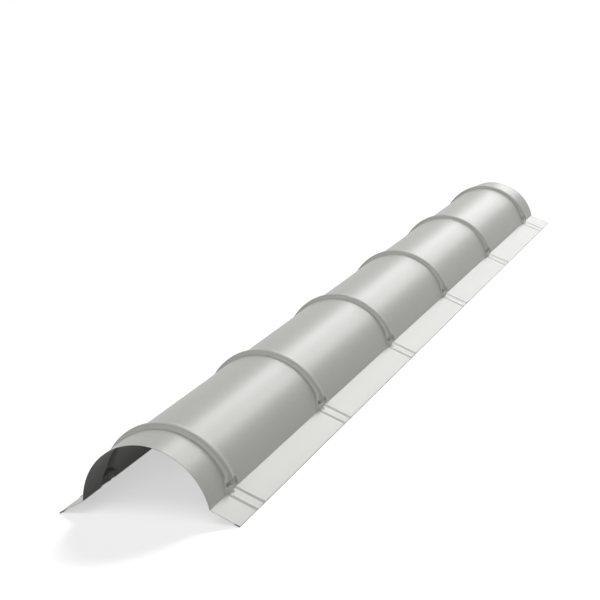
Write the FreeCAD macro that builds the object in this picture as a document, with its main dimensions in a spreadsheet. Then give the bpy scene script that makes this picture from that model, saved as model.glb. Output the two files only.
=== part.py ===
import FreeCAD, Part

# Half-round roof ridge cap, roll-formed from one strip of coated sheet steel.
#
# A half-round arch carries a row of round stiffening beads that run over it.
# A flange leaves each foot of the arch at a sharp crease, slopes down and outward
# with the roof, and ends in a hem folded back under it.
# Where the strip was bent at the crease, the end of each bead is pinched in and
# dented, and a splayed foot carries it down onto the flange. Two narrow pleats run
# on from there across the flange and its hem.
#
# Millimetres, +Z up, +Y along the ridge. The origin is the middle of the floor
# rectangle that the cap stands on. The sketches use the arch's own axis as the
# Y axis, and the finished cap is lifted from there onto its hems.

import math
import os

import Sketcher
from FreeCAD import Placement, Rotation, Vector

SIZES = {
    "cap_length": 2000.0,
    "arch_radius": 110.0,
    "sheet": 0.5,
    "crease_angle": 83.0,
    "fall_angle": 25.5,
    "flange_width": 52.0,
    "hem_return": 10.0,
    "hem_gap": 0.8,
    "first_bead": 77.0,
    "bead_pitch": 367.0,
    "end_margin": 60.0,
    "bead_width": 28.0,
    "bead_height": 8.0,
    "crown_radius": 11.0,
    "pinch_rise": 10.5,
    "pinch_length": 7.0,
    "pinch_width": 30.0,
    "dent_depth": 2.0,
    "dent_length": 6.0,
    "splay_rise": 18.0,
    "splay_height": 3.0,
    "splay_width": 10.0,
    "splay_flank_angle": 60.0,
    "sole_width": 30.0,
    "sole_bulge": 5.0,
    "pleat_spacing": 27.0,
    "pleat_width": 9.0,
    "pleat_height": 2.5,
}

# How far the raw forms run past the crease, and into and past each other.
OUTER_OVERRUN_ANGLE = 6.0
INNER_OVERRUN_ANGLE = 12.0
FLANGE_OVERRUN = 4.0
SPLAY_OVERRUN = 8.0
TRIM_REACH = 20.0
TRIM_DEPTH = 20.0
ROOT_DEPTH = 5.0

# A placement keeps its axis on this angle until its expression sets the real one.
FIRST_ANGLE = 1.0

# How a sketch numbers its own axes, and the points of an edge.
VERTICAL_AXIS, SKETCH_ORIGIN = range(-2, 0)
START, END, CENTRE = range(1, 4)

FRONT_END = "(-1 * sizes.cap_length / 2)"
BACK_END = "(sizes.cap_length / 2)"
FIRST_BEAD_AT = "(sizes.first_bead - sizes.cap_length / 2)"
BEAD_GAPS = "floor((sizes.cap_length - sizes.first_bead - sizes.end_margin) / sizes.bead_pitch)"
HEM_RADIUS = "(sizes.sheet + sizes.hem_gap / 2)"
CREASE = "(sizes.crease_angle * 1deg)"
FALL = "(sizes.fall_angle * 1deg)"
ARCH_AXIS_HEIGHT = (
    f"((sizes.flange_width - {HEM_RADIUS}) * sin({FALL}) + {HEM_RADIUS} * (1 + cos({FALL}))"
    f" - sizes.arch_radius * cos({CREASE}))"
)
HALF_BEAD = "(sizes.bead_width / 2)"
CROWN_CENTRE = "(sizes.arch_radius + sizes.bead_height - sizes.crown_radius)"
CROWN_DROP = "(sizes.crown_radius - sizes.bead_height)"
BEAD_FLANK = (
    f"(90deg - atan({CROWN_DROP} / {HALF_BEAD}) - acos(sizes.crown_radius / hypot({CROWN_DROP}; {HALF_BEAD})))"
)
PINCH_ANGLE = "(sizes.crease_angle - sizes.pinch_rise / sizes.arch_radius * 180 / pi)"
SPLAY_FLANK = "(sizes.splay_flank_angle * 1deg)"
PLEAT_AT = "(sizes.pleat_spacing / 2)"
PLEAT_INSIDE = "((sizes.pleat_spacing - sizes.pleat_width) / 2)"
PLEAT_OUTSIDE = "((sizes.pleat_spacing + sizes.pleat_width) / 2)"


def make_size_sheet(doc):
    """Put the driving dimensions into a spreadsheet, one alias for each size."""
    sheet = doc.addObject("Spreadsheet::Sheet", "sizes")
    for row, (alias, value) in enumerate(SIZES.items(), start=1):
        sheet.set(f"A{row}", alias)
        sheet.set(f"B{row}", str(value))
        sheet.setAlias(f"B{row}", alias)
    doc.recompute()


def worked_out(doc, expression):
    """Work out an expression of the sheet's sizes, for a sketch's first guess."""
    return float(doc.getObject("sizes").evalExpression(expression))


def origin_feature(body, role):
    """Return the origin plane or axis of the body that has this role."""
    return next(item for item in body.Origin.OriginFeatures if item.Role == role)


def make_body(doc, name):
    """Add a body that may hold separate lumps while its runs are being filled in."""
    body = doc.addObject("PartDesign::Body", name)
    body.AllowCompound = True
    return body


def sketch_on(body, plane, name):
    """Attach an empty sketch to one of the body's own origin planes."""
    sketch = body.newObject("Sketcher::SketchObject", name)
    sketch.AttachmentSupport = (origin_feature(body, plane), "")
    sketch.MapMode = "FlatFace"
    return sketch


def hold(sketch, name, expression, *constraint):
    """Add a dimension to the sketch and bind it to an expression of the sizes."""
    value = worked_out(sketch.Document, expression)
    index = sketch.addConstraint(Sketcher.Constraint(*constraint, value))
    sketch.renameConstraint(index, name)
    sketch.setExpression(f"Constraints.{name}", expression)


def tie(sketch, *constraint):
    """Add a constraint that has no value."""
    sketch.addConstraint(Sketcher.Constraint(*constraint))


def draw_run(sketch, points):
    """Draw straight edges through the points and join them; return them in order."""
    edges = [
        sketch.addGeometry(Part.LineSegment(Vector(*start, 0), Vector(*end, 0)))
        for start, end in zip(points, points[1:])
    ]
    for edge, following in zip(edges, edges[1:]):
        tie(sketch, "Coincident", edge, END, following, START)
    return edges


def draw_rectangle(sketch, left, right, low, high):
    """Draw an upright rectangle whose four sides stand at these expressions."""
    doc = sketch.Document
    x_left, x_right, y_low, y_high = (worked_out(doc, side) for side in (left, right, low, high))
    corners = [(x_left, y_low), (x_right, y_low), (x_right, y_high), (x_left, y_high)]
    bottom, right_side, top, left_side = draw_run(sketch, corners + corners[:1])
    tie(sketch, "Coincident", left_side, END, bottom, START)
    for edge in (bottom, top):
        tie(sketch, "Horizontal", edge)
    for edge in (right_side, left_side):
        tie(sketch, "Vertical", edge)
    hold(sketch, "left", left, "DistanceX", SKETCH_ORIGIN, START, bottom, START)
    hold(sketch, "right", right, "DistanceX", SKETCH_ORIGIN, START, bottom, END)
    hold(sketch, "low", low, "DistanceY", SKETCH_ORIGIN, START, bottom, START)
    hold(sketch, "high", high, "DistanceY", SKETCH_ORIGIN, START, top, START)


def draw_bead(sketch, inset):
    """Draw a bead's section: a crown arc that runs into a straight flank on each side.

    Its face lies this much inside the bead's outer face, and the flanks run on
    below the arch's surface to the section's floor.
    """
    doc = sketch.Document
    floor_at = f"({HALF_BEAD} - {inset} * tan({BEAD_FLANK} / 2) + {ROOT_DEPTH} / tan({BEAD_FLANK}))"
    floor_height = f"(sizes.arch_radius - {inset} - {ROOT_DEPTH})"
    radius = f"(sizes.crown_radius - {inset})"
    half_floor, low, centre_height, size = (
        worked_out(doc, expression) for expression in (floor_at, floor_height, CROWN_CENTRE, radius)
    )
    lean = math.pi / 2 - math.radians(worked_out(doc, BEAD_FLANK))
    touch = (size * math.cos(lean), centre_height + size * math.sin(lean))

    far_flank, floor, near_flank = draw_run(
        sketch, [touch, (half_floor, low), (-half_floor, low), (-touch[0], touch[1])]
    )
    circle = Part.Circle(Vector(0, centre_height, 0), Vector(0, 0, 1), size)
    crown = sketch.addGeometry(Part.ArcOfCircle(circle, lean, math.pi - lean))
    tie(sketch, "Tangent", crown, START, far_flank, START)
    tie(sketch, "Tangent", crown, END, near_flank, END)
    tie(sketch, "PointOnObject", crown, CENTRE, VERTICAL_AXIS)
    tie(sketch, "Symmetric", floor, START, floor, END, VERTICAL_AXIS)
    hold(sketch, "centre", CROWN_CENTRE, "DistanceY", SKETCH_ORIGIN, START, crown, CENTRE)
    hold(sketch, "crown", radius, "Radius", crown)
    hold(sketch, "floor_at", floor_at, "DistanceX", SKETCH_ORIGIN, START, floor, START)
    hold(sketch, "floor_height", floor_height, "DistanceY", SKETCH_ORIGIN, START, floor, START)


def draw_corners(sketch, corners):
    """Draw a closed outline whose corners stand at these pairs of expressions."""
    points = [tuple(worked_out(sketch.Document, side) for side in corner) for corner in corners]
    edges = draw_run(sketch, points + points[:1])
    tie(sketch, "Coincident", edges[-1], END, edges[0], START)
    for number, (edge, (across, up)) in enumerate(zip(edges, corners), start=1):
        hold(sketch, f"across_{number}", across, "DistanceX", SKETCH_ORIGIN, START, edge, START)
        hold(sketch, f"up_{number}", up, "DistanceY", SKETCH_ORIGIN, START, edge, START)


def draw_pinch(sketch, inset):
    """Draw what is pressed away at a bead's foot: its sloping end, and the dent below it.

    The sketch's x axis runs down the wall and its y axis out of it, both from
    where the pinch is deepest.
    """
    slope = "hypot(sizes.pinch_length; sizes.bead_height)"
    bottom = (
        f"(-1 * {inset} * ({slope} - sizes.pinch_length) / sizes.bead_height)",
        f"(-1 * sizes.dent_depth - {inset})",
    )
    top = (f"({bottom[0]} - 2 * sizes.pinch_length)", f"({bottom[1]} + 2 * sizes.bead_height)")
    end = "(2 * sizes.dent_length)"
    draw_corners(sketch, [bottom, (end, f"({bottom[1]} + 2 * sizes.dent_depth)"), (end, top[1]), top])


def draw_splay(sketch, inset, rise):
    """Draw the section of a bead's splayed foot at this height above the crease.

    It stands on the arch's surface with two sloping flanks, which run on below it.
    """
    wall = f"sqrt((sizes.arch_radius - {inset}) ^ 2 - ({rise}) ^ 2)"
    share = f"({rise} / sizes.splay_rise)"
    height = f"(sizes.sole_bulge + (sizes.splay_height - sizes.sole_bulge) * {share})"
    half = (
        f"((sizes.sole_width + (sizes.splay_width - sizes.sole_width) * {share}) / 2"
        f" - {inset} * tan({SPLAY_FLANK} / 2))"
    )
    top_at = f"({half} - {height} / tan({SPLAY_FLANK}))"
    floor_at = f"({half} + {ROOT_DEPTH} / tan({SPLAY_FLANK}))"
    top = f"({wall} + {height})"
    floor = f"({wall} - {ROOT_DEPTH})"
    draw_corners(
        sketch,
        [(f"(-1 * {floor_at})", floor), (floor_at, floor), (top_at, top), (f"(-1 * {top_at})", top)],
    )


def turn(body, name, sketch, angle):
    """Turn a sketch about the arch's axis, from its top down the right side."""
    feature = body.newObject("PartDesign::Revolution", name)
    feature.Profile = sketch
    feature.ReferenceAxis = (origin_feature(body, "Y_Axis"), [""])
    feature.setExpression("Angle", angle)
    return feature


def press(body, name, sketch, width):
    """Cut a sketch's outline away over this width, evenly to both sides."""
    feature = body.newObject("PartDesign::Pocket", name)
    feature.Profile = sketch
    feature.SideType = "Symmetric"
    feature.setExpression("Length", width)
    return feature


def loft(body, name, sections):
    """Join sections with straight-lined faces, one after the other."""
    feature = body.newObject("PartDesign::AdditiveLoft", name)
    feature.Profile = sections[0]
    feature.Sections = sections[1:]
    feature.Ruled = True
    return feature


def repeat_along(body, name, originals):
    """Repeat features at every bead along the ridge."""
    pattern = body.newObject("PartDesign::LinearPattern", name)
    pattern.Originals = originals
    pattern.Direction = (origin_feature(body, "Y_Axis"), [""])
    pattern.setExpression("Length", f"{BEAD_GAPS} * sizes.bead_pitch")
    pattern.setExpression("Occurrences", f"{BEAD_GAPS} + 1")
    body.Tip = pattern


def along_section(body, name):
    """Put a sketch on the ridge's own upright plane, with its origin at the first bead."""
    sketch = sketch_on(body, "YZ_Plane", name)
    sketch.setExpression("AttachmentOffset.Base.x", FIRST_BEAD_AT)
    return sketch


def cross_section(body, name, across, height, along, turned):
    """Put a sketch square to the ridge, its x axis turned down from level by an angle.

    across and height place its origin from the arch's axis, along the ridge from
    the cap's middle.
    """
    sketch = sketch_on(body, "XZ_Plane", name)
    sketch.AttachmentOffset = Placement(Vector(0, 0, 0), Rotation(Vector(0, 0, -1), FIRST_ANGLE))
    sketch.setExpression("AttachmentOffset.Base.x", across)
    sketch.setExpression("AttachmentOffset.Base.y", height)
    sketch.setExpression("AttachmentOffset.Base.z", f"-1 * ({along})")
    sketch.setExpression("AttachmentOffset.Rotation.Angle", turned)
    return sketch


def splay_section(body, name, rise, inset):
    """Put a section of a bead's splayed foot this far above the crease, square to the wall there."""
    sketch = along_section(body, name)
    sketch.AttachmentOffset = Placement(Vector(0, 0, 0), Rotation(Vector(1, 0, 0), FIRST_ANGLE))
    sketch.setExpression("AttachmentOffset.Base.y", f"{rise} * sin({CREASE})")
    sketch.setExpression("AttachmentOffset.Base.z", f"-1 * {rise} * cos({CREASE})")
    sketch.setExpression("AttachmentOffset.Rotation.Angle", "sizes.crease_angle")
    draw_splay(sketch, inset, rise)
    return sketch


def make_form(doc, name, inset, low, overrun):
    """Make the right half of the arch as a thick form, with this much taken off its face.

    low is the radius of the form's own inside, and overrun the angle that it runs
    on past the crease. The sheet is one form less another that is set in by its
    thickness.
    """
    body = make_body(doc, name)
    plain = sketch_on(body, "YZ_Plane", f"{name}_plain")
    draw_rectangle(plain, FRONT_END, BACK_END, low, f"(sizes.arch_radius - {inset})")
    turn(body, f"{name}_run", plain, f"(sizes.crease_angle + {overrun})")

    bead = along_section(body, f"{name}_bead")
    draw_bead(bead, inset)
    ring = turn(body, f"{name}_ring", bead, PINCH_ANGLE)

    radius = "sizes.arch_radius"
    pinch = cross_section(
        body, f"{name}_pinch", f"{radius} * sin({PINCH_ANGLE} * 1deg)", f"{radius} * cos({PINCH_ANGLE} * 1deg)",
        FIRST_BEAD_AT, PINCH_ANGLE,
    )
    draw_pinch(pinch, inset)
    pressed = press(body, f"{name}_press", pinch, f"sizes.pinch_width + 2 * {inset}")

    sections = [
        splay_section(body, f"{name}_splay_{place}", rise, inset)
        for place, rise in (("top", "sizes.splay_rise"), ("end", f"(-1 * {SPLAY_OVERRUN})"))
    ]
    repeat_along(body, f"{name}_beads", [ring, pressed, loft(body, f"{name}_splay", sections)])
    return body


def draw_flange(sketch):
    """Draw the flange's section with its hem, from the crease outward along +x.

    The hem turns back on a half circle, and the gap inside it ends square.
    """
    doc = sketch.Document
    thick = worked_out(doc, "sizes.sheet")
    radius = worked_out(doc, HEM_RADIUS)
    width = worked_out(doc, "sizes.flange_width")
    bend = width - radius
    lip = width - worked_out(doc, "sizes.hem_return")
    low = -2 * radius
    edges = draw_run(
        sketch,
        [
            (bend, low), (lip, low), (lip, low + thick), (bend, low + thick),
            (bend, -thick), (-FLANGE_OVERRUN, -thick), (-FLANGE_OVERRUN, 0), (bend, 0),
        ],
    )
    return_low, lip_edge, return_high, gap_end, under, root, top = edges
    circle = Part.Circle(Vector(bend, -radius, 0), Vector(0, 0, 1), radius)
    fold = sketch.addGeometry(Part.ArcOfCircle(circle, -math.pi / 2, math.pi / 2))
    tie(sketch, "Tangent", top, END, fold, END)
    tie(sketch, "Tangent", fold, START, return_low, START)
    for level in (top, return_low, return_high, under):
        tie(sketch, "Horizontal", level)
    for upright in (lip_edge, root, gap_end):
        tie(sketch, "Vertical", upright)
    tie(sketch, "PointOnObject", top, START, SKETCH_ORIGIN)
    origin = (SKETCH_ORIGIN, START)
    hold(sketch, "overrun", f"{FLANGE_OVERRUN}", "DistanceX", top, START, *origin)
    hold(sketch, "fold", HEM_RADIUS, "Radius", fold)
    hold(sketch, "bend", f"(sizes.flange_width - {HEM_RADIUS})", "DistanceX", *origin, top, END)
    hold(sketch, "gap_end", f"(sizes.flange_width - {HEM_RADIUS})", "DistanceX", *origin, gap_end, END)
    hold(sketch, "lip", "(sizes.flange_width - sizes.hem_return)", "DistanceX", *origin, lip_edge, START)
    hold(sketch, "lip_sheet", "sizes.sheet", "DistanceY", lip_edge, START, lip_edge, END)
    hold(sketch, "under_sheet", "sizes.sheet", "DistanceY", root, START, root, END)


def draw_below_flange(sketch):
    """Draw the space below the flange's under face, around the arch's foot."""
    draw_rectangle(
        sketch, f"(-1 * {TRIM_REACH})", f"{TRIM_REACH}", f"(-1 * {TRIM_DEPTH})", "(-1 * sizes.sheet)"
    )


def draw_window(sketch):
    """Draw a rectangle that clears the whole flange section."""
    draw_rectangle(
        sketch, f"(-1 * {TRIM_DEPTH})", f"(sizes.flange_width + {TRIM_REACH})",
        f"(-2 * {TRIM_DEPTH})", f"{TRIM_DEPTH}",
    )


def flange_section(body, name, along, lift, draw):
    """Draw a section across the flange, its origin at the crease and lifted square to the flange."""
    across = f"sizes.arch_radius * sin({CREASE}) + {lift} * sin({FALL})"
    height = f"sizes.arch_radius * cos({CREASE}) + {lift} * cos({FALL})"
    sketch = cross_section(body, name, across, height, along, "sizes.fall_angle")
    draw(sketch)
    return sketch


def make_flange(doc, name, draw):
    """Run a flange section along the ridge and lift it over the pleats of each bead."""
    body = make_body(doc, name)
    run = body.newObject("PartDesign::Pad", f"{name}_run")
    run.Profile = flange_section(body, f"{name}_plain", "0", "0", draw)
    run.SideType = "Symmetric"
    run.setExpression("Length", "sizes.cap_length")

    window = flange_section(body, f"{name}_window", FIRST_BEAD_AT, "0", draw_window)
    gap = press(body, f"{name}_gap", window, f"2 * {PLEAT_OUTSIDE}")

    half = (("outside", PLEAT_OUTSIDE, "0"), ("peak", PLEAT_AT, "sizes.pleat_height"), ("inside", PLEAT_INSIDE, "0"))
    near = [(f"near_{place}", f"-1 * {offset}", lift) for place, offset, lift in half]
    far = [(f"far_{place}", offset, lift) for place, offset, lift in reversed(half)]
    sections = [
        flange_section(body, f"{name}_{place}", f"{FIRST_BEAD_AT} + {offset}", lift, draw)
        for place, offset, lift in near + far
    ]
    repeat_along(body, f"{name}_pleats", [gap, loft(body, f"{name}_pleat_pair", sections)])
    return body


def mirror(doc, source, name):
    """Mirror a shape to the other side of the ridge line."""
    other = doc.addObject("Part::Mirroring", name)
    other.Source = source
    other.Normal = Vector(1, 0, 0)
    return other


def fuse(doc, name, shapes):
    """Join shapes into one."""
    joined = doc.addObject("Part::MultiFuse", name)
    joined.Shapes = shapes
    return joined


def cut(doc, name, base, tool):
    """Cut a tool out of a base shape."""
    rest = doc.addObject("Part::Cut", name)
    rest.Base = base
    rest.Tool = tool
    return rest


def make_ridge_cap(doc):
    """Join the beaded arch and its two pleated flanges into the one sheet."""
    outer_low = f"(sizes.arch_radius - {TRIM_DEPTH})"
    inner_low = f"(sizes.arch_radius - 2 * {TRIM_DEPTH})"
    outer = make_form(doc, "outer", "0", outer_low, OUTER_OVERRUN_ANGLE)
    inner = make_form(doc, "inner", "sizes.sheet", inner_low, INNER_OVERRUN_ANGLE)
    arch = cut(doc, "arch", cut(doc, "arch_wall", outer, inner), make_flange(doc, "below", draw_below_flange))
    flange = cut(doc, "flange", make_flange(doc, "whole_flange", draw_flange), inner)
    half = fuse(doc, "right_half", [arch, flange])

    cap = fuse(doc, "ridge_cap", [half, mirror(doc, half, "left_half")])
    cap.Refine = True
    cap.setExpression("Placement.Base.z", ARCH_AXIS_HEIGHT)
    return cap


def check(doc, parts):
    """Stop if any feature failed, or if a finished part isn't one valid solid."""
    for item in doc.Objects:
        if "Invalid" in item.State or "Error" in item.State:
            raise RuntimeError(f"{item.Name} is {item.State}")
    for item in parts:
        if item.Shape.isNull() or not item.Shape.isValid():
            raise RuntimeError(f"{item.Label} has no valid shape")
        if len(item.Shape.Solids) != 1:
            raise RuntimeError(f"{item.Label} has {len(item.Shape.Solids)} solids")


def main():
    """Build the cap and write it out."""
    doc = FreeCAD.newDocument("ridge_cap")
    make_size_sheet(doc)
    parts = [make_ridge_cap(doc)]
    doc.recompute()
    check(doc, parts)
    os.makedirs("parts", exist_ok=True)
    for item in parts:
        item.Shape.exportStep(f"parts/{item.Label}.step")
        box = item.Shape.BoundBox
        print(item.Label, f"{item.Shape.Volume:.1f}", f"{box.XLength:.2f} {box.YLength:.2f} {box.ZLength:.2f}")


main()
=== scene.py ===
"""Looks of the half-round roof ridge cap: its pressed sheet, its coats and a plain pale studio."""

from __future__ import annotations

import logging
import math
from collections.abc import Iterable
from dataclasses import dataclass, field
from enum import IntEnum

import bpy
import numpy as np
from mathutils import Matrix, Vector

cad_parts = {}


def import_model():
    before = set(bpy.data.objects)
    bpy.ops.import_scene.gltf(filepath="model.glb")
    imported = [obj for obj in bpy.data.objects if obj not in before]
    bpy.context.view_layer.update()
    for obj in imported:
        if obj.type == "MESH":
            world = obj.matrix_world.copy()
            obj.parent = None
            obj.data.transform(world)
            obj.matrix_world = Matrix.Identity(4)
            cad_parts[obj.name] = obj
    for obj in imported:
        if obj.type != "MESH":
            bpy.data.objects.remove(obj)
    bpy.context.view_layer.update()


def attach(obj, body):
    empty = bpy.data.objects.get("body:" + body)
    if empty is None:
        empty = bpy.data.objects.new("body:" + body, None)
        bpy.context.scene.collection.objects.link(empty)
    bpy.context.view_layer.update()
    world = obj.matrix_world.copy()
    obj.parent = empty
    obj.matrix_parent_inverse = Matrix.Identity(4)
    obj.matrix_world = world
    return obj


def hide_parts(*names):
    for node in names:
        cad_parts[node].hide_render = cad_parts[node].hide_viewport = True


LOG = logging.getLogger("ridge_cap")
MM = 0.001

# How far from the cap's middle a lamp's own object hangs. Its light comes from afar.
LAMP_DISTANCE = 4.0

# Sockets of a Mix node that mixes two colours.
MIX_SHARE, MIX_FIRST, MIX_SECOND, MIX_COLOUR = 0, 6, 7, 2

# The order of a face's corners that turns it over.
TURNED_OVER = [0, 3, 2, 1]


class Face(IntEnum):
    """Which finish a face of the sheet carries, as the number of its material slot."""

    OUTER = 0
    BACK = 1
    CUT = 2
    # Painted shade: a near-black finish inside the hem's fold and at the fold's ends.
    PAINTED_SHADE = 3


def smooth_step(value: np.ndarray, low: float, high: float) -> np.ndarray:
    """Rise smoothly from 0 to 1 between two values.

    The formula is 3t² - 2t³, where t is the share of the way from low to high,
    held between 0 and 1. With low above high the step falls instead.

    Args:
        value: Where to work the step out.
        low: The value at which the step leaves 0.
        high: The value at which the step reaches 1.

    Returns:
        The step at each value.
    """
    share = np.clip((value - low) / (high - low), 0.0, 1.0)
    return share * share * (3.0 - 2.0 * share)


def swell(offset: np.ndarray, reach: float | np.ndarray) -> np.ndarray:
    """Work out a round-topped swelling: cos² of a quarter turn over its reach.

    Args:
        offset: Distance from the swelling's middle.
        reach: Distance at which it has died out.

    Returns:
        1 at the middle, falling to 0 at the reach on both sides.
    """
    return np.cos(np.clip(offset / reach, -1.0, 1.0) * (np.pi / 2.0)) ** 2


def join(heights: list[np.ndarray], sharpness: float = 6.0) -> np.ndarray:
    """Join raised forms into one skin, with soft valleys where they meet.

    The formula is the sharpness-th root of the sum of the heights to that power,
    so one form alone keeps its height and two equal ones round into each other.

    Args:
        heights: Heights of the forms, none below zero.
        sharpness: How closely the skin follows the highest form.

    Returns:
        The height of the joined skin.
    """
    return sum(height**sharpness for height in heights) ** (1.0 / sharpness)


@dataclass(frozen=True)
class SectionCurve:
    """The plain section of the cap's outer face, from the crown down one side to the hem's lip.

    A point's station is its distance from the crown along the face. The curve is
    an arc, a crease with a small round, a straight flange, a half circle round the
    hem's fold and the straight return under it. Lengths are in metres. The counts
    say how many stations each run of the curve has. They are close together on the
    foot's run above the crease and on the ledge's run below it.
    """

    radius: float = 110 * MM
    crease_angle: float = math.radians(83.0)
    fall_angle: float = math.radians(25.5)
    flange: float = 52 * MM
    fold_radius: float = 0.9 * MM
    hem_return: float = 10 * MM
    crease_round: float = 1.6 * MM
    blend_reach: float = 14 * MM
    foot_run: float = 30 * MM
    ledge_run: float = 12 * MM
    arch_count: int = 24
    foot_count: int = 28
    round_count: int = 3
    round_share: float = 0.6
    ledge_count: int = 10
    flange_count: int = 9
    fold_count: int = 8

    @property
    def crease_at(self) -> float:
        """Station of the crease."""
        return self.radius * self.crease_angle

    @property
    def fold_at(self) -> float:
        """Station where the hem's fold starts."""
        return self.crease_at + self.flange - self.fold_radius

    @property
    def return_at(self) -> float:
        """Station where the hem's fold ends."""
        return self.fold_at + math.pi * self.fold_radius

    @property
    def lip_at(self) -> float:
        """Station of the hem's lip."""
        return self.return_at + self.hem_return - self.fold_radius

    @property
    def axis_height(self) -> float:
        """Height of the arch's axis above the floor that the hems lie on."""
        run = (self.flange - self.fold_radius) * math.sin(self.fall_angle)
        hem = self.fold_radius * (1.0 + math.cos(self.fall_angle))
        return run + hem - self.radius * math.cos(self.crease_angle)

    @property
    def crease_half(self) -> float:
        """Length of each leg of the crease that its round takes up."""
        return self.crease_round * math.tan((self.crease_angle - self.fall_angle) / 2.0)

    def stations(self) -> np.ndarray:
        """Choose the stations of the mesh, close together at the foot, the crease and the fold.

        Returns:
            Stations from just past the crown to the lip.
        """
        half = self.crease_half
        foot_top = self.crease_at - self.foot_run
        ledge_end = self.crease_at + self.ledge_run
        return np.concatenate(
            [
                np.linspace(0.0, foot_top, self.arch_count)[1:-1],
                np.linspace(foot_top, self.crease_at - half, self.foot_count),
                self.crease_at
                + half * np.linspace(-self.round_share, self.round_share, self.round_count),
                np.linspace(self.crease_at + half, ledge_end, self.ledge_count),
                np.linspace(ledge_end, self.fold_at, self.flange_count)[1:],
                np.linspace(self.fold_at, self.return_at, self.fold_count)[1:],
                [self.lip_at],
            ]
        )

    def places(self, station: np.ndarray) -> tuple[np.ndarray, np.ndarray]:
        """Find the plain face's points.

        On the arch the point is the radius times (sin a, cos a) for the angle
        a = station / radius. On the flange it is the crease plus the distance run
        times (cos f, -sin f) for the fall f. Round the crease it is the quadratic
        curve with the crease as its middle pole, and round the fold it turns on a
        half circle about the fold's centre.

        Args:
            station: Distances from the crown along the face.

        Returns:
            The points' x and z.
        """
        crease_x = self.radius * math.sin(self.crease_angle)
        crease_z = self.axis_height + self.radius * math.cos(self.crease_angle)
        out_x, out_z = math.cos(self.fall_angle), -math.sin(self.fall_angle)
        up_x, up_z = math.sin(self.fall_angle), math.cos(self.fall_angle)

        angle = np.minimum(station / self.radius, self.crease_angle)
        arch = (self.radius * np.sin(angle), self.axis_height + self.radius * np.cos(angle))

        turn = np.clip((station - self.fold_at) / self.fold_radius, 0.0, np.pi)
        along = np.clip(station - self.crease_at, 0.0, self.flange - self.fold_radius)
        back = np.clip(station - self.return_at, 0.0, None)
        run = along + self.fold_radius * np.sin(turn) - back
        drop = self.fold_radius * (1.0 - np.cos(turn))
        flange = (crease_x + run * out_x - drop * up_x, crease_z + run * out_z - drop * up_z)

        half = self.crease_half
        share = np.clip((station - self.crease_at + half) / (2.0 * half), 0.0, 1.0)
        start_angle = self.crease_angle - half / self.radius
        start_x = self.radius * math.sin(start_angle)
        start_z = self.axis_height + self.radius * math.cos(start_angle)
        end = (crease_x + half * out_x, crease_z + half * out_z)
        poles = zip((start_x, start_z), (crease_x, crease_z), end)
        rounded = [
            (1 - share) ** 2 * first + 2 * share * (1 - share) * middle + share**2 * last
            for first, middle, last in poles
        ]
        before = station < self.crease_at - half
        after = station > self.crease_at + half
        x, z = (
            np.where(before, on_arch, np.where(after, on_flange, on_round))
            for on_arch, on_flange, on_round in zip(arch, flange, rounded)
        )
        return x, z

    def outward(self, station: np.ndarray) -> tuple[np.ndarray, np.ndarray]:
        """Find the direction in which relief stands out of the face.

        It is the arch's own normal on the wall and the flange's on the flange, and
        turns smoothly from one to the other over the blend reach on both sides of
        the crease, so that forms which bridge the crease don't run into themselves.

        Args:
            station: Distances from the crown along the face.

        Returns:
            The directions' x and z.
        """
        angle = np.minimum(station / self.radius, self.crease_angle)
        reach = self.blend_reach
        share = smooth_step(station, self.crease_at - reach, self.crease_at + reach)
        turned = angle + (self.fall_angle - angle) * share
        return np.sin(turned), np.cos(turned)


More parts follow.
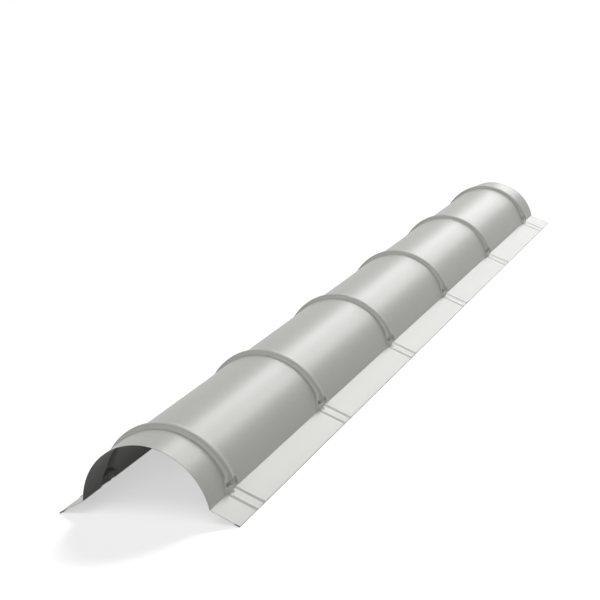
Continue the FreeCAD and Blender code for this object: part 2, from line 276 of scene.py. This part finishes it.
@dataclass(frozen=True)
class BeadRelief:
    """Relief of one cross bead with its pinched foot and the two pleats that run on from it.

    Heights are given over the distance u along the ridge from the bead's middle and
    over the rise v up the wall from the crease, which is below zero on the flange.
    The splay's edge and top are runs of pairs, a rise and a distance or height, in
    millimetres. All other lengths are in metres.
    """

    # The crown and the low skirt under it.
    height: float = 6.3 * MM
    half_width: float = 8.9 * MM
    fullness: float = 2.5
    root_fall: float = 5.0
    root_softness: float = 0.35 * MM
    skirt_height: float = 1.5 * MM
    skirt_reach: float = 24 * MM
    # The narrowing towards the nose, and the nose's end.
    narrow_from: float = 28 * MM
    narrow_to: float = 14 * MM
    narrow_share: float = 0.5
    end_top: float = 16 * MM
    end_bottom: float = 11.5 * MM
    # The splayed sheet round the nose, and where its far side ends.
    splay_edge: tuple[tuple[float, float], ...] = (
        (-8.0, 13.5),
        (0.0, 16.5),
        (5.0, 18.0),
        (10.0, 17.5),
        (15.0, 15.0),
        (20.0, 11.5),
        (25.0, 7.5),
        (32.0, 2.0),
    )
    splay_top: tuple[tuple[float, float], ...] = (
        (-5.0, 0.0),
        (-2.0, 2.8),
        (1.0, 4.4),
        (8.0, 4.2),
        (15.0, 5.2),
        (20.0, 5.8),
        (26.0, 5.0),
        (30.0, 2.6),
        (34.0, 0.0),
    )
    splay_flank: float = 5 * MM
    edge_lap: float = 0.5 * MM
    side_change: float = 5 * MM
    far_end_top: float = 6 * MM
    far_end_bottom: float = 0.5 * MM
    # The two pockets beside the nose.
    pocket_depth: float = 5.2 * MM
    pocket_from: float = 2 * MM
    pocket_low: float = 9.5 * MM
    pocket_high: float = 16 * MM
    pocket_lip: float = 1 * MM
    pocket_flank: float = 2.5 * MM
    pocket_softness: float = 1.5 * MM
    far_drop: float = 7 * MM
    # The two pleats across the flange.
    pleat_at: float = 13.5 * MM
    pleat_half: float = 7.5 * MM
    pleat_height: float = 1.25 * MM
    pleat_top: float = 5 * MM
    pleat_full: float = -2 * MM

    def profile(self, along: np.ndarray) -> np.ndarray:
        """Work out the bead's own section: a full, round crown on a low, wide skirt.

        The crown is H (1 - |u / w| to the p) to the 1/p, for the height H, the half
        width w and the fullness p, and falls on steeply below the wall. Its roots
        are softened by k ln(1 + exp(h / k)) for the sharp height h and the softness
        k, and a cos² swelling under it leads the sheet gently up to them.

        Args:
            along: Distance from the bead's middle along the ridge.

        Returns:
            The bead's height above the wall.
        """
        share = np.abs(along) / self.half_width
        full = np.maximum(1.0 - share**self.fullness, 0.0) ** (1.0 / self.fullness)
        fall = self.root_fall * self.half_width * np.maximum(share - 1.0, 0.0)
        sharp = self.height * full - fall
        crown = self.root_softness * np.logaddexp(0.0, sharp / self.root_softness)
        return crown + self.skirt_height * swell(along, self.skirt_reach)

    def heights(self, along: np.ndarray, rise: np.ndarray) -> np.ndarray:
        """Work out the relief of a bead, its foot and its pleats.

        The bead narrows to a nose that ends above the crease. Round it the sheet
        splays out to both sides. On the near side the splay runs down over the
        crease on to the flange, and on the far side it ends above it. A pocket is
        pressed into the splay on each side of the nose, the far one lower, and two
        pleats go on from the splay's edges across the flange.

        Args:
            along: Distance u from the bead's middle along the ridge.
            rise: Rise v up the wall from the crease, below zero on the flange.

        Returns:
            The height of the outer face over the plain sheet.
        """
        away = np.abs(along)
        narrowed = smooth_step(rise, self.narrow_from, self.narrow_to)
        narrowing = 1.0 - (1.0 - self.narrow_share) * narrowed
        bead = self.profile(along / narrowing) * smooth_step(rise, self.end_bottom, self.end_top)

        far = smooth_step(along, -self.side_change, self.side_change)
        kept = 1.0 - far * smooth_step(rise, self.far_end_top, self.far_end_bottom)
        edge = self.run(self.splay_edge, rise)
        inside = edge - self.edge_lap
        splay = self.run(self.splay_top, rise) * kept
        splay = splay * smooth_step(away, edge + self.splay_flank, inside)

        soft = self.pocket_softness
        low = self.pocket_low - self.far_drop * far
        lip = self.pocket_high + self.pocket_lip
        pocket = kept * smooth_step(away, self.pocket_from - soft, self.pocket_from + soft)
        pocket = pocket * smooth_step(away, edge + self.pocket_flank, inside)
        pocket = pocket * smooth_step(rise - low, -soft, soft)
        pocket = pocket * smooth_step(rise, lip, self.pocket_high - soft)

        pleats = self.pleat_height * swell(away - self.pleat_at, self.pleat_half)
        pleats = pleats * smooth_step(rise, self.pleat_top, self.pleat_full)
        return join([bead, splay, pleats]) - self.pocket_depth * pocket

    def run(self, points: tuple[tuple[float, float], ...], rise: np.ndarray) -> np.ndarray:
        """Return a run's value at each rise, from its pairs of rise and value in mm."""
        rises, values = zip(*points)
        return np.interp(rise / MM, rises, values) * MM


@dataclass(frozen=True)
class CoatFinish:
    """A smooth polymer coat on the sheet: even colour, fine orange peel and soft streaks.

    The colour drifts between its two tones in wide clouds and in faint streaks along
    the ridge, and the gloss follows the streaks. The grain's size and depth and the
    streaks' width are in metres.
    """

    name: str
    colour: tuple[float, float, float]
    shade: tuple[float, float, float]
    roughness: float
    gloss_swing: float
    grain: float
    grain_depth: float
    streak: float
    streak_along: float = 0.6
    streak_detail: float = 2.0
    streak_share: float = 0.35
    cloud_scale: float = 9.0
    cloud_detail: float = 3.0
    tone_from: float = 0.35
    grain_detail: float = 1.5
    grain_strength: float = 0.5
    ior: float = 1.46

    def material(self) -> bpy.types.Material:
        """Build the coat's node material.

        Returns:
            The material, on Object coordinates.
        """
        material = bpy.data.materials.new(self.name)
        material.use_nodes = True
        nodes, links = material.node_tree.nodes, material.node_tree.links
        shader = nodes["Principled BSDF"]
        place = nodes.new("ShaderNodeTexCoord")

        cloud = nodes.new("ShaderNodeTexNoise")
        cloud.inputs["Scale"].default_value = self.cloud_scale
        cloud.inputs["Detail"].default_value = self.cloud_detail
        links.new(place.outputs["Object"], cloud.inputs["Vector"])

        stretch = nodes.new("ShaderNodeMapping")
        across = 1.0 / self.streak
        stretch.inputs["Scale"].default_value = (across, self.streak_along, across)
        links.new(place.outputs["Object"], stretch.inputs["Vector"])
        streaks = nodes.new("ShaderNodeTexNoise")
        streaks.inputs["Scale"].default_value = 1.0
        streaks.inputs["Detail"].default_value = self.streak_detail
        links.new(stretch.outputs["Vector"], streaks.inputs["Vector"])

        blend = nodes.new("ShaderNodeMath")
        blend.operation = "MULTIPLY_ADD"
        blend.inputs[1].default_value = self.streak_share
        links.new(streaks.outputs["Fac"], blend.inputs[0])
        links.new(cloud.outputs["Fac"], blend.inputs[2])

        tone = nodes.new("ShaderNodeMapRange")
        tone.inputs["From Min"].default_value = self.tone_from
        tone.inputs["From Max"].default_value = 1.0
        links.new(blend.outputs["Value"], tone.inputs["Value"])
        mix = nodes.new("ShaderNodeMix")
        mix.data_type = "RGBA"
        mix.inputs[MIX_FIRST].default_value = (*self.shade, 1.0)
        mix.inputs[MIX_SECOND].default_value = (*self.colour, 1.0)
        links.new(tone.outputs["Result"], mix.inputs[MIX_SHARE])
        links.new(mix.outputs[MIX_COLOUR], shader.inputs["Base Color"])

        gloss = nodes.new("ShaderNodeMapRange")
        gloss.inputs["To Min"].default_value = self.roughness - self.gloss_swing
        gloss.inputs["To Max"].default_value = self.roughness + self.gloss_swing
        links.new(streaks.outputs["Fac"], gloss.inputs["Value"])
        links.new(gloss.outputs["Result"], shader.inputs["Roughness"])

        peel = nodes.new("ShaderNodeTexNoise")
        peel.inputs["Scale"].default_value = 1.0 / self.grain
        peel.inputs["Detail"].default_value = self.grain_detail
        links.new(place.outputs["Object"], peel.inputs["Vector"])
        bump = nodes.new("ShaderNodeBump")
        bump.inputs["Distance"].default_value = self.grain_depth
        bump.inputs["Strength"].default_value = self.grain_strength
        links.new(peel.outputs["Fac"], bump.inputs["Height"])
        links.new(bump.outputs["Normal"], shader.inputs["Normal"])

        shader.inputs["IOR"].default_value = self.ior
        return material


@dataclass(frozen=True)
class EdgeFinish:
    """A dull finish with a fine burr: the sheet's sheared edge, or the near-black painted shade
    inside its hem.

    The burr's depth is in metres.
    """

    name: str
    colour: tuple[float, float, float]
    roughness: float
    metallic: float
    smoother: float = 0.1
    rougher: float = 0.15
    burr_scale: float = 1400.0
    burr_depth: float = 0.05 * MM
    burr_strength: float = 0.6

    def material(self) -> bpy.types.Material:
        """Build the edge's node material.

        Returns:
            The material, on Object coordinates.
        """
        material = bpy.data.materials.new(self.name)
        material.use_nodes = True
        nodes, links = material.node_tree.nodes, material.node_tree.links
        shader = nodes["Principled BSDF"]
        place = nodes.new("ShaderNodeTexCoord")
        burr = nodes.new("ShaderNodeTexNoise")
        burr.inputs["Scale"].default_value = self.burr_scale
        links.new(place.outputs["Object"], burr.inputs["Vector"])
        tone = nodes.new("ShaderNodeMapRange")
        tone.inputs["To Min"].default_value = self.roughness - self.smoother
        tone.inputs["To Max"].default_value = self.roughness + self.rougher
        links.new(burr.outputs["Fac"], tone.inputs["Value"])
        links.new(tone.outputs["Result"], shader.inputs["Roughness"])
        bump = nodes.new("ShaderNodeBump")
        bump.inputs["Distance"].default_value = self.burr_depth
        bump.inputs["Strength"].default_value = self.burr_strength
        links.new(burr.outputs["Fac"], bump.inputs["Height"])
        links.new(bump.outputs["Normal"], shader.inputs["Normal"])
        shader.inputs["Base Color"].default_value = (*self.colour, 1.0)
        shader.inputs["Metallic"].default_value = self.metallic
        return material


OUTER_COAT = CoatFinish(
    name="outer_coat",
    colour=(0.795, 0.80, 0.755),
    shade=(0.765, 0.77, 0.725),
    roughness=0.40,
    gloss_swing=0.03,
    grain=1.6 * MM,
    grain_depth=0.012 * MM,
    streak=14 * MM,
)
BACK_COAT = CoatFinish(
    name="back_coat",
    colour=(0.35, 0.352, 0.34),
    shade=(0.30, 0.302, 0.291),
    roughness=0.55,
    gloss_swing=0.06,
    grain=1.2 * MM,
    grain_depth=0.015 * MM,
    streak=20 * MM,
)
CUT_STEEL = EdgeFinish(
    name="cut_steel",
    colour=(0.12, 0.12, 0.117),
    roughness=0.48,
    metallic=0.8,
)
# Painted shade: a near-black finish standing in for the shadow inside the hem's fold and at the
# fold's ends.
PAINTED_HEM_SHADE = EdgeFinish(
    name="painted_hem_shade",
    colour=(0.012, 0.012, 0.012),
    roughness=0.75,
    metallic=0.0,
)


@dataclass
class PressedSheet:
    """The cap itself: one sheet with beads, flanges and hems, as one closed skin.

    The mesh has close rows over each bead, a few wider ones beside it and still
    wider ones between the beads. Lengths are in metres.
    """

    name: str = "ridge_cap_sheet"
    length: float = 2000 * MM
    thickness: float = 0.5 * MM
    first_bead: float = 77 * MM
    pitch: float = 367 * MM
    beads: int = 6
    sharp_from: float = math.radians(55.0)
    close_reach: float = 23 * MM
    close_rows: int = 43
    beside: tuple[float, ...] = (27 * MM, 32 * MM, 40 * MM)
    gap_rows: int = 7
    near_end_step: float = 18 * MM
    far_end_rows: int = 4
    curve: SectionCurve = field(default_factory=SectionCurve)
    relief: BeadRelief = field(default_factory=BeadRelief)
    piece: bpy.types.Object | None = None

    def bead_places(self) -> np.ndarray:
        """Return the y of each bead's middle."""
        return self.first_bead - self.length / 2 + self.pitch * np.arange(self.beads)

    def rows(self) -> np.ndarray:
        """Choose the y of the mesh's rows, close together at the beads.

        Returns:
            An odd number of rows from the near end to the far end.
        """
        close = np.linspace(-self.close_reach, self.close_reach, self.close_rows)
        beside = np.array(self.beside)
        offsets = np.concatenate([-beside[::-1], close, beside])
        places = self.bead_places()
        at_beads = (places[:, None] + offsets[None, :]).ravel()
        gaps = [
            np.linspace(start + offsets[-1], start + self.pitch + offsets[0], self.gap_rows)[1:-1]
            for start in places[:-1]
        ]
        end = self.length / 2
        near_end = [-end, -end + self.near_end_step]
        far_end = np.linspace(places[-1] + offsets[-1], end, self.far_end_rows)[1:]
        rows = np.unique(np.concatenate([at_beads, *gaps, near_end, far_end]))
        # An odd count lets the inner face take every other row, both ends among them.
        return rows if len(rows) % 2 else np.delete(rows, 1)

    def outer_grid(self, rows: np.ndarray, columns: np.ndarray) -> np.ndarray:
        """Work out the outer face on a grid of rows along the ridge and columns across it.

        Each point is the plain section's point plus the relief's height times the
        outward direction. The left half is the right one with x turned round.

        Args:
            rows: y of the rows.
            columns: Signed stations, below zero on the left side.

        Returns:
            Points with the shape (rows, columns, 3).
        """
        station = np.abs(columns)
        side = np.sign(columns)
        x, z = self.curve.places(station)
        out_x, out_z = self.curve.outward(station)
        first = self.bead_places()[0]
        nearest = np.clip(np.round((rows - first) / self.pitch), 0, self.beads - 1)
        along = rows - first - nearest * self.pitch
        rise = self.curve.crease_at - station
        height = self.relief.heights(along[:, None], rise[None, :])
        grid = np.empty((len(rows), len(columns), 3))
        grid[..., 0] = side * (x + height * out_x)
        grid[..., 1] = rows[:, None]
        grid[..., 2] = z + height * out_z
        return grid

    def inner_grid(self, outer: np.ndarray) -> np.ndarray:
        """Set the inner face in from the outer one by the sheet's thickness.

        The normal is the cross product of the grid's two tangents, made one long,
        and it is kept level along the ridge at the two ends, so that they stay square.

        Args:
            outer: Points of the outer face.

        Returns:
            Points of the inner face on the same grid.
        """
        down_rows = np.gradient(outer, axis=0)
        across = np.gradient(outer, axis=1)
        normal = np.cross(across, down_rows)
        normal[[0, -1], :, 1] = 0.0
        normal /= np.linalg.norm(normal, axis=2, keepdims=True)
        return outer - self.thickness * normal

    @staticmethod
    def quads(grid: np.ndarray) -> np.ndarray:
        """Join a grid of point numbers into four-sided faces, row by row.

        Args:
            grid: Point numbers with the shape (rows, columns).

        Returns:
            Four point numbers for each face.
        """
        corners = [grid[:-1, :-1], grid[:-1, 1:], grid[1:, 1:], grid[1:, :-1]]
        return np.stack(corners, axis=-1).reshape(-1, 4)

    @staticmethod
    def rim(top: np.ndarray, low: np.ndarray) -> np.ndarray:
        """Close the skin along the two cut ends and the two lips.

        The inner face has every other point of the outer one, so each face of the
        rim has three points on the outer edge and two on the inner one.

        Args:
            top: Point numbers of the outer face's grid.
            low: Point numbers of the inner face's grid.

        Returns:
            Five point numbers for each face: near end, far end, left lip, right lip.
        """
        edges = [
            (top[0, ::-1], low[0, ::-1]),
            (top[-1], low[-1]),
            (top[:, 0], low[:, 0]),
            (top[::-1, -1], low[::-1, -1]),
        ]
        return np.concatenate(
            [
                np.stack([edge[:-2:2], edge[1:-1:2], edge[2::2], back[1:], back[:-1]], axis=-1)
                for edge, back in edges
            ]
        )

    def finishes(
        self, columns: np.ndarray, outer_count: int, inner_rows: int, rim_count: int
    ) -> np.ndarray:
        """Choose the finish of each face.

        The outer coat covers the outer face and the back coat the inner one. The inside of the hem
        and the ends of its fold get painted shade: a near-black finish standing in for the shadow
        there. The rest of the rim is cut steel.

        Args:
            columns: Signed stations of the outer face's columns.
            outer_count: How many faces the outer face's mesh has.
            inner_rows: How many rows of points the inner face has.
            rim_count: How many faces the rim has.

        Returns:
            The number of the finish of each face, in the faces' own order.
        """
        # Faces inside the hem's fold and at the fold's ends get painted shade instead of the back
        # coat or cut steel.
        painted_shade_mask = np.abs(columns[1:-1:2]) > self.curve.fold_at - self.curve.hem_return
        end_finish = np.where(painted_shade_mask, Face.PAINTED_SHADE, Face.CUT)
        return np.concatenate(
            [
                np.full(outer_count, Face.OUTER),
                np.tile(np.where(painted_shade_mask, Face.PAINTED_SHADE, Face.BACK), inner_rows - 1),
                end_finish[::-1],
                end_finish,
                np.full(rim_count - 2 * len(end_finish), Face.CUT),
            ]
        ).astype(np.int32)

    def build(self) -> bpy.types.Object:
        """Build the closed skin: outer face, inner face at half the density, and rim.

        Returns:
            The sheet's object.
        """
        right = self.curve.stations()
        columns = np.concatenate([-right[::-1], [0.0], right])
        outer = self.outer_grid(self.rows(), columns)
        inner = self.inner_grid(outer)[::2, ::2]
        top = np.arange(outer[..., 0].size).reshape(outer.shape[:2])
        low = top.size + np.arange(inner[..., 0].size).reshape(inner.shape[:2])

        outer_faces = self.quads(top)
        inner_faces = self.quads(low)[:, TURNED_OVER]
        rim_faces = self.rim(top, low)
        points = np.concatenate([outer.reshape(-1, 3), inner.reshape(-1, 3)])
        faces = outer_faces.tolist() + inner_faces.tolist() + rim_faces.tolist()
        mesh = bpy.data.meshes.new(self.name)
        mesh.from_pydata(points.tolist(), [], faces)

        self.piece = bpy.data.objects.new(self.name, mesh)
        bpy.context.scene.collection.objects.link(self.piece)
        self.dress()
        finish = self.finishes(columns, len(outer_faces), len(inner), len(rim_faces))
        mesh.polygons.foreach_set("material_index", finish)
        smooth = np.arange(len(faces)) < len(faces) - len(rim_faces)
        mesh.polygons.foreach_set("use_smooth", smooth)
        mesh.set_sharp_from_angle(angle=self.sharp_from)
        mesh.update()
        mesh.validate()
        LOG.info("%s: %d points, %d faces", self.name, len(points), len(faces))
        return self.piece

    def dress(self) -> None:
        """Give the sheet its finishes, in the order of their slots."""
        for finish in (OUTER_COAT, BACK_COAT, CUT_STEEL, PAINTED_HEM_SHADE):
            self.piece.data.materials.append(finish.material())


@dataclass(frozen=True)
class Lamp:
    """A soft distant lamp, named by where its light comes from.

    The bearing runs from the cap's far end towards its right side, and the
    softness is the lamp's width as seen from the cap. Angles are in degrees.
    """

    name: str
    bearing: float
    height: float
    softness: float
    strength: float

    def hang(self) -> bpy.types.Object:
        """Hang the lamp in the scene.

        Returns:
            The lamp's object.
        """
        light = bpy.data.lights.new(self.name, "SUN")
        light.angle = math.radians(self.softness)
        light.energy = self.strength
        bearing, height = math.radians(self.bearing), math.radians(self.height)
        towards = Vector(
            (
                math.sin(bearing) * math.cos(height),
                math.cos(bearing) * math.cos(height),
                math.sin(height),
            )
        )
        lamp = bpy.data.objects.new(self.name, light)
        lamp.location = towards * LAMP_DISTANCE
        lamp.rotation_euler = towards.to_track_quat("Z", "Y").to_euler()
        bpy.context.scene.collection.objects.link(lamp)
        return lamp


@dataclass
class Studio:
    """A plain pale floor under plain soft light, with a white surround."""

    floor_half: float = 40.0
    floor_colour: float = 0.35
    shown_colour: float = 1.45
    shown_white: float = 0.53
    sky: float = 0.02
    lamps: tuple[Lamp, ...] = (
        Lamp("back_low", bearing=0.0, height=15.0, softness=15.0, strength=0.20),
        Lamp("back_high", bearing=0.0, height=35.0, softness=15.0, strength=0.70),
        Lamp("back_right", bearing=20.0, height=30.0, softness=15.0, strength=0.62),
        Lamp("overhead", bearing=180.0, height=68.0, softness=40.0, strength=0.46),
        Lamp("right_low", bearing=90.0, height=30.0, softness=40.0, strength=0.08),
        Lamp("front_low", bearing=178.0, height=15.0, softness=45.0, strength=0.62),
    )

    def floor_material(self) -> bpy.types.Material:
        """Build the floor's material: pale, and shown white where it isn't in shadow.

        Returns:
            The material. Camera, glossy and transmission rays see a brighter diffuse
            colour with white added, which shows the lit floor a little above white.
            All other rays see the plain pale colour.
        """
        material = bpy.data.materials.new("studio_floor")
        material.use_nodes = True
        nodes, links = material.node_tree.nodes, material.node_tree.links
        nodes.remove(nodes["Principled BSDF"])
        plain = nodes.new("ShaderNodeBsdfDiffuse")
        plain.inputs["Color"].default_value = (self.floor_colour,) * 3 + (1.0,)
        shown = nodes.new("ShaderNodeBsdfDiffuse")
        shown.inputs["Color"].default_value = (self.shown_colour,) * 3 + (1.0,)
        white = nodes.new("ShaderNodeEmission")
        white.inputs["Strength"].default_value = self.shown_white
        both = nodes.new("ShaderNodeAddShader")
        links.new(shown.outputs["BSDF"], both.inputs[0])
        links.new(white.outputs["Emission"], both.inputs[1])
        choose = nodes.new("ShaderNodeMixShader")
        links.new(self.seen(nodes, links), choose.inputs[0])
        links.new(plain.outputs["BSDF"], choose.inputs[1])
        links.new(both.outputs["Shader"], choose.inputs[2])
        links.new(choose.outputs["Shader"], nodes["Material Output"].inputs["Surface"])
        return material

    def seen(self, nodes: bpy.types.Nodes, links: bpy.types.NodeLinks) -> bpy.types.NodeSocket:
        """Tell the rays that show the surround from those that light the cap.

        Args:
            nodes: Nodes of the tree to add to.
            links: Links of the same tree.

        Returns:
            A socket that is 1 for camera, glossy and transmission rays.
        """
        path = nodes.new("ShaderNodeLightPath")
        first = nodes.new("ShaderNodeMath")
        first.operation = "MAXIMUM"
        second = nodes.new("ShaderNodeMath")
        second.operation = "MAXIMUM"
        links.new(path.outputs["Is Camera Ray"], first.inputs[0])
        links.new(path.outputs["Is Glossy Ray"], first.inputs[1])
        links.new(first.outputs["Value"], second.inputs[0])
        links.new(path.outputs["Is Transmission Ray"], second.inputs[1])
        return second.outputs["Value"]

    def build(self) -> None:
        """Lay the floor, set the surround and hang the lamps."""
        half = self.floor_half
        mesh = bpy.data.meshes.new("studio_floor")
        corners = [(-half, -half, 0.0), (half, -half, 0.0), (half, half, 0.0), (-half, half, 0.0)]
        mesh.from_pydata(corners, [], [(0, 1, 2, 3)])
        mesh.materials.append(self.floor_material())
        floor = bpy.data.objects.new("studio_floor", mesh)
        bpy.context.scene.collection.objects.link(floor)
        self.build_surround()
        for lamp in self.lamps:
            lamp.hang()
        LOG.info("studio: %d lamps", len(self.lamps))

    def build_surround(self) -> None:
        """Set the world: even light on the cap, and white where it is seen."""
        world = bpy.data.worlds.new("studio_surround")
        bpy.context.scene.world = world
        world.use_nodes = True
        nodes, links = world.node_tree.nodes, world.node_tree.links
        light = nodes["Background"]
        light.inputs["Color"].default_value = (1.0, 1.0, 1.0, 1.0)
        light.inputs["Strength"].default_value = self.sky
        white = nodes.new("ShaderNodeBackground")
        white.inputs["Color"].default_value = (1.0, 1.0, 1.0, 1.0)
        choose = nodes.new("ShaderNodeMixShader")
        links.new(self.seen(nodes, links), choose.inputs[0])
        links.new(light.outputs["Background"], choose.inputs[1])
        links.new(white.outputs["Background"], choose.inputs[2])
        links.new(choose.outputs["Shader"], nodes["World Output"].inputs["Surface"])


@dataclass(frozen=True)
class PhotoCamera:
    """The camera, at the place and the angle that were fitted to the photograph."""

    place: tuple[float, float, float] = (1.02421, -2.61271, 0.80176)
    azimuth: float = math.radians(24.46)
    elevation: float = math.radians(14.47)
    roll: float = math.radians(-6.31)
    lens: float = 81.19
    film: float = 36.0

    def build(self) -> bpy.types.Object:
        """Set up the camera and make it the scene's own.

        Returns:
            The camera's object.
        """
        right = Vector((math.cos(self.azimuth), math.sin(self.azimuth), 0.0))
        back = Vector(
            (
                math.sin(self.azimuth) * math.cos(self.elevation),
                -math.cos(self.azimuth) * math.cos(self.elevation),
                math.sin(self.elevation),
            )
        )
        up = back.cross(right)
        turned_right = right * math.cos(self.roll) + up * math.sin(self.roll)
        turned_up = up * math.cos(self.roll) - right * math.sin(self.roll)
        lens = bpy.data.cameras.new("photo_camera")
        lens.lens = self.lens
        lens.sensor_width = self.film
        lens.sensor_fit = "HORIZONTAL"
        lens.clip_start = 0.01
        lens.clip_end = 200.0
        camera = bpy.data.objects.new("photo_camera", lens)
        axes = Matrix((turned_right, turned_up, back)).transposed()
        camera.matrix_world = Matrix.LocRotScale(Vector(self.place), axes.to_quaternion(), None)
        bpy.context.scene.collection.objects.link(camera)
        bpy.context.scene.camera = camera
        LOG.info("camera at %s", self.place)
        return camera


def main() -> None:
    """Load the frame, build the cap's sheet and the studio, and hand the sheet to the frame."""
    logging.basicConfig(level=logging.INFO, format="%(name)s: %(message)s")
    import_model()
    bpy.context.scene.view_settings.view_transform = "Standard"

    PhotoCamera().build()
    sheet = PressedSheet().build()
    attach(sheet, "root")
    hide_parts("ridge_cap")
    Studio().build()


if __name__ == "__main__":
    main()
